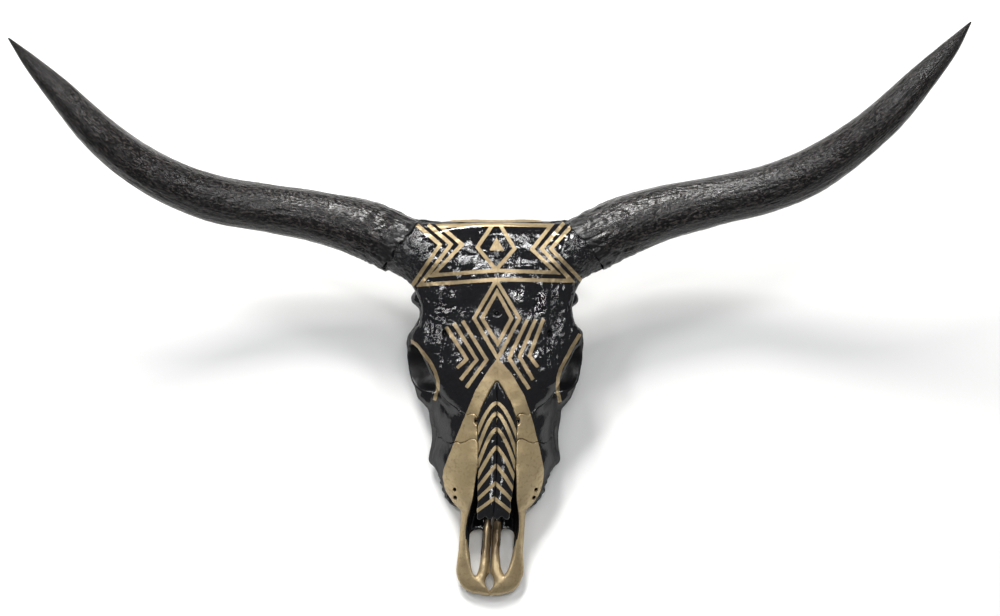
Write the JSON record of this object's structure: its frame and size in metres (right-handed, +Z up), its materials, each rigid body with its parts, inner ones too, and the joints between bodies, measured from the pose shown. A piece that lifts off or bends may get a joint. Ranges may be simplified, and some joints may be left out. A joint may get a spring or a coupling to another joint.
{
  "type": "cow skull",
  "caption": "Long-horned cow skull without its lower jaw, painted gloss black with gold chevrons, lozenges and muzzle, lying face up.",
  "frame": {"origin": "on the floor, under the middle of the box round the skull and its horns", "axes": "+X to the skull right of the picture, +Y from the muzzle to the poll, +Z up"},
  "size_m": [1.2096, 0.6754, 0.3724],
  "materials": {
    "black_paint": "gloss",
    "gold_paint": "satin",
    "horn": "matte"
  },
  "bodies": {
    "root": {"cranium": "black_paint", "lacrimal_left": "black_paint", "lacrimal_right": "black_paint", "zygomatic_left": "black_paint", "zygomatic_right": "black_paint", "maxilla_left": "black_paint", "maxilla_right": "black_paint", "nasal_left": "black_paint", "nasal_right": "black_paint", "incisive_left": "gold_paint", "incisive_right": "gold_paint", "horn_left": "horn", "horn_right": "horn"}
  },
  "joints": []
}
